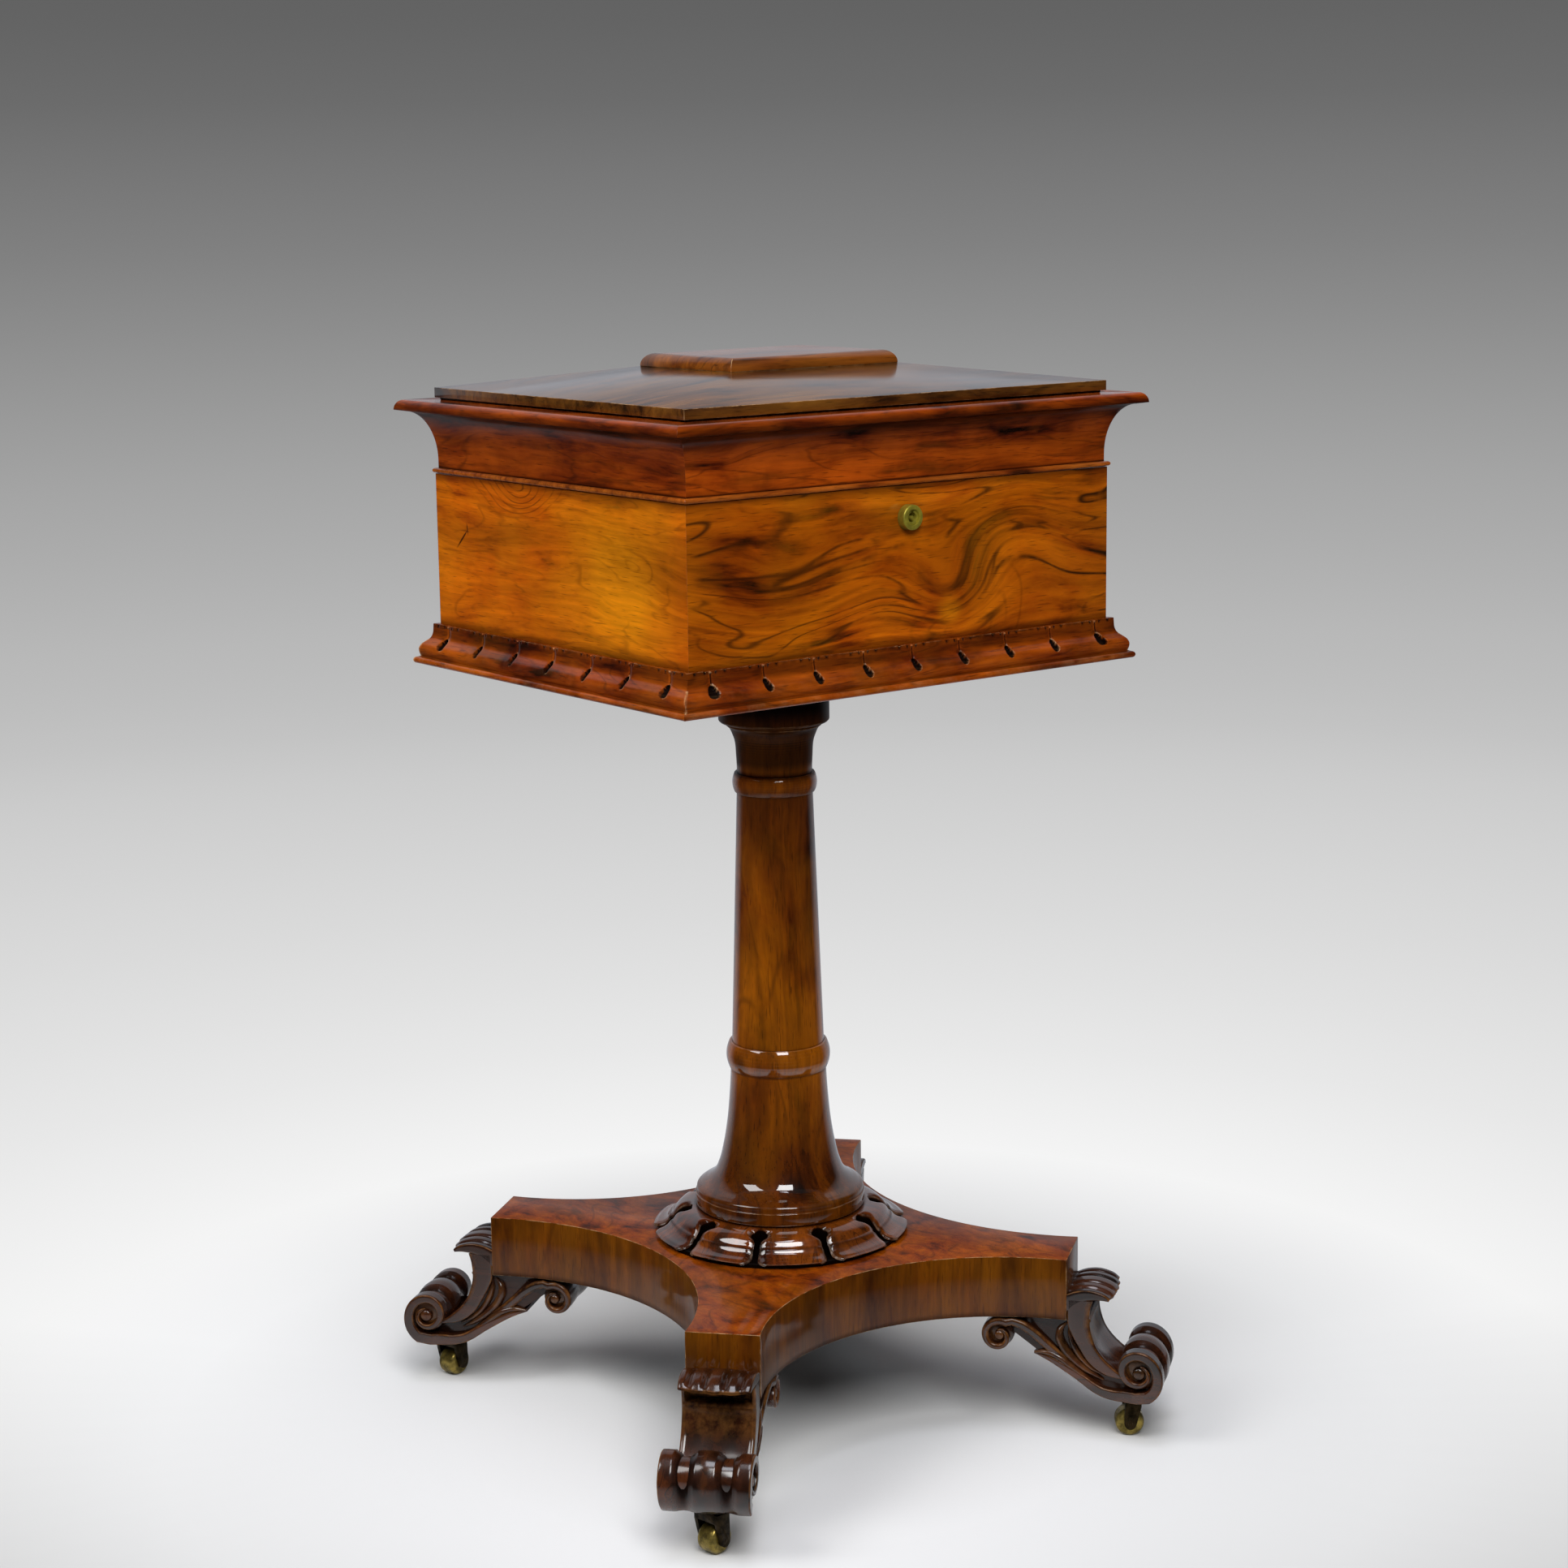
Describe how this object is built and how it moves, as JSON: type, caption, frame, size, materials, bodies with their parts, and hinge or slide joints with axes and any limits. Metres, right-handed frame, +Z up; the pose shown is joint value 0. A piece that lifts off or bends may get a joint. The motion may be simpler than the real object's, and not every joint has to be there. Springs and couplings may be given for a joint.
{
  "type": "teapoy",
  "caption": "Antique rosewood tea chest with a hinged, moulded lid on a turned column and a concave platform with scroll feet on brass castors.",
  "frame": {"origin": "on the floor, under the middle of the object, on the column's axis", "axes": "+Z up along the column, -Y out of the front of the chest where the lock is, +X to the right of someone who faces the front"},
  "size_m": [0.4618, 0.4836, 0.765],
  "materials": {
    "glass": "clear, polished",
    "castor_brass": "worn, lacquered",
    "castor_bronze": "dark, oxidised",
    "brass": "worn, satin",
    "foot_rosewood": "dark, waxed",
    "column_rosewood": "french polish",
    "platform_rosewood": "french polish",
    "canister_mahogany": "satin",
    "inner_mahogany": "satin",
    "top_rosewood": "french polish",
    "cornice_rosewood": "french polish",
    "moulding_rosewood": "french polish",
    "chest_rosewood": "french polish"
  },
  "bodies": {
    "stand": {"base_moulding_back": "moulding_rosewood", "base_moulding_front": "moulding_rosewood", "base_moulding_left": "moulding_rosewood", "base_moulding_right": "moulding_rosewood", "bowl_tray": "inner_mahogany", "canister_divider_left": "inner_mahogany", "canister_divider_right": "inner_mahogany", "castor_plates": "castor_bronze", "chest_back_board": "chest_rosewood", "chest_bottom_board": "inner_mahogany", "chest_front_board": "chest_rosewood", "chest_left_board": "chest_rosewood", "chest_right_board": "chest_rosewood", "column": "column_rosewood", "column_plate": "inner_mahogany", "column_plate_screws": "brass", "foot_back_left": "foot_rosewood", "foot_back_right": "foot_rosewood", "foot_front_left": "foot_rosewood", "foot_front_right": "foot_rosewood", "hinge_leaves_chest": "brass", "hinge_pins": "brass", "hinge_screws_chest": "brass", "lock_boss": "brass", "lock_case": "brass", "lotus_collar": "column_rosewood", "partition_left": "inner_mahogany", "partition_right": "inner_mahogany", "platform": "platform_rosewood"},
    "lid": {"hinge_leaves_lid": "brass", "hinge_screws_lid": "brass", "lid_beads": "cornice_rosewood", "lid_cornice_back": "cornice_rosewood", "lid_cornice_front": "cornice_rosewood", "lid_cornice_left": "cornice_rosewood", "lid_cornice_right": "cornice_rosewood", "lid_lining": "inner_mahogany", "lid_plateau": "top_rosewood", "lid_top": "top_rosewood", "lock_link_plate": "brass"},
    "lock_barrel": {"lock_barrel": "brass"},
    "lock_bolt": {"lock_bolt": "brass"},
    "glass_bowl_front": {"glass_bowl_front": "glass"},
    "glass_bowl_back": {"glass_bowl_back": "glass"},
    "canister_front_left": {"canister_front_left": "canister_mahogany"},
    "canister_lid_front_left": {"canister_lid_front_left": "canister_mahogany"},
    "castor_horn_front_left": {"castor_horn_front_left": "castor_bronze"},
    "castor_wheel_front_left": {"castor_wheel_front_left": "castor_brass"},
    "canister_front_right": {"canister_front_right": "canister_mahogany"},
    "canister_lid_front_right": {"canister_lid_front_right": "canister_mahogany"},
    "castor_horn_front_right": {"castor_horn_front_right": "castor_bronze"},
    "castor_wheel_front_right": {"castor_wheel_front_right": "castor_brass"},
    "canister_back_right": {"canister_back_right": "canister_mahogany"},
    "canister_lid_back_right": {"canister_lid_back_right": "canister_mahogany"},
    "castor_horn_back_right": {"castor_horn_back_right": "castor_bronze"},
    "castor_wheel_back_right": {"castor_wheel_back_right": "castor_brass"},
    "canister_back_left": {"canister_back_left": "canister_mahogany"},
    "canister_lid_back_left": {"canister_lid_back_left": "canister_mahogany"},
    "castor_horn_back_left": {"castor_horn_back_left": "castor_bronze"},
    "castor_wheel_back_left": {"castor_wheel_back_left": "castor_brass"}
  },
  "joints": [
    {"name": "lid_hinge", "type": "hinge", "parent": "stand", "child": "lid", "pos_m": [0, 0.1504, 0.6838], "axis": [-1, 0, 0], "range_deg": [0, 95]},
    {"name": "lock_turn", "type": "hinge", "parent": "stand", "child": "lock_barrel", "pos_m": [0, -0.147, 0.6625], "axis": [0, 1, 0], "range_deg": [0, 90]},
    {"name": "lock_bolt_slide", "type": "slide", "parent": "stand", "child": "lock_bolt", "axis": [1, 0, 0], "range_m": [0, 0.00566]},
    {"name": "glass_bowl_front_lift", "type": "slide", "parent": "stand", "child": "glass_bowl_front", "axis": [0, 0, 1], "range_m": [0, 0.04]},
    {"name": "glass_bowl_back_lift", "type": "slide", "parent": "stand", "child": "glass_bowl_back", "axis": [0, 0, 1], "range_m": [0, 0.04]},
    {"name": "canister_front_left_lift", "type": "slide", "parent": "stand", "child": "canister_front_left", "axis": [0, 0, 1], "range_m": [0, 0.032]},
    {"name": "canister_lid_front_left_lift", "type": "slide", "parent": "canister_front_left", "child": "canister_lid_front_left", "axis": [0, 0, 1], "range_m": [0, 0.032]},
    {"name": "canister_front_right_lift", "type": "slide", "parent": "stand", "child": "canister_front_right", "axis": [0, 0, 1], "range_m": [0, 0.032]},
    {"name": "canister_lid_front_right_lift", "type": "slide", "parent": "canister_front_right", "child": "canister_lid_front_right", "axis": [0, 0, 1], "range_m": [0, 0.032]},
    {"name": "canister_back_right_lift", "type": "slide", "parent": "stand", "child": "canister_back_right", "axis": [0, 0, 1], "range_m": [0, 0.032]},
    {"name": "canister_lid_back_right_lift", "type": "slide", "parent": "canister_back_right", "child": "canister_lid_back_right", "axis": [0, 0, 1], "range_m": [0, 0.032]},
    {"name": "canister_back_left_lift", "type": "slide", "parent": "stand", "child": "canister_back_left", "axis": [0, 0, 1], "range_m": [0, 0.032]},
    {"name": "canister_lid_back_left_lift", "type": "slide", "parent": "canister_back_left", "child": "canister_lid_back_left", "axis": [0, 0, 1], "range_m": [0, 0.032]},
    {"name": "castor_swivel_front_left", "type": "hinge", "parent": "stand", "child": "castor_horn_front_left", "pos_m": [-0.19159, -0.1713, 0.032], "axis": [0, 0, 1], "continuous": true},
    {"name": "castor_roll_front_left", "type": "hinge", "parent": "castor_horn_front_left", "child": "castor_wheel_front_left", "pos_m": [-0.18962, -0.17095, 0.0102], "axis": [0.1736, -0.9848, 0], "continuous": true},
    {"name": "castor_swivel_front_right", "type": "hinge", "parent": "stand", "child": "castor_horn_front_right", "pos_m": [0.15752, -0.20307, 0.032], "axis": [0, 0, 1], "continuous": true},
    {"name": "castor_roll_front_right", "type": "hinge", "parent": "castor_horn_front_right", "child": "castor_wheel_front_right", "pos_m": [0.15594, -0.20184, 0.0102], "axis": [0.6157, 0.788, 0], "continuous": true},
    {"name": "castor_swivel_back_right", "type": "hinge", "parent": "stand", "child": "castor_horn_back_right", "pos_m": [0.19159, 0.1713, 0.032], "axis": [0, 0, 1], "continuous": true},
    {"name": "castor_roll_back_right", "type": "hinge", "parent": "castor_horn_back_right", "child": "castor_wheel_back_right", "pos_m": [0.1909, 0.17318, 0.0102], "axis": [0.9397, 0.342, 0], "continuous": true},
    {"name": "castor_swivel_back_left", "type": "hinge", "parent": "stand", "child": "castor_horn_back_left", "pos_m": [-0.15752, 0.20307, 0.032], "axis": [0, 0, 1], "continuous": true},
    {"name": "castor_roll_back_left", "type": "hinge", "parent": "castor_horn_back_left", "child": "castor_wheel_back_left", "pos_m": [-0.15559, 0.20359, 0.0102], "axis": [0.2588, -0.9659, 0], "continuous": true}
  ],
  "couplings": [
    {"joint": "lock_turn", "follows": "lock_bolt_slide", "rad_per_m": 277.5}
  ]
}
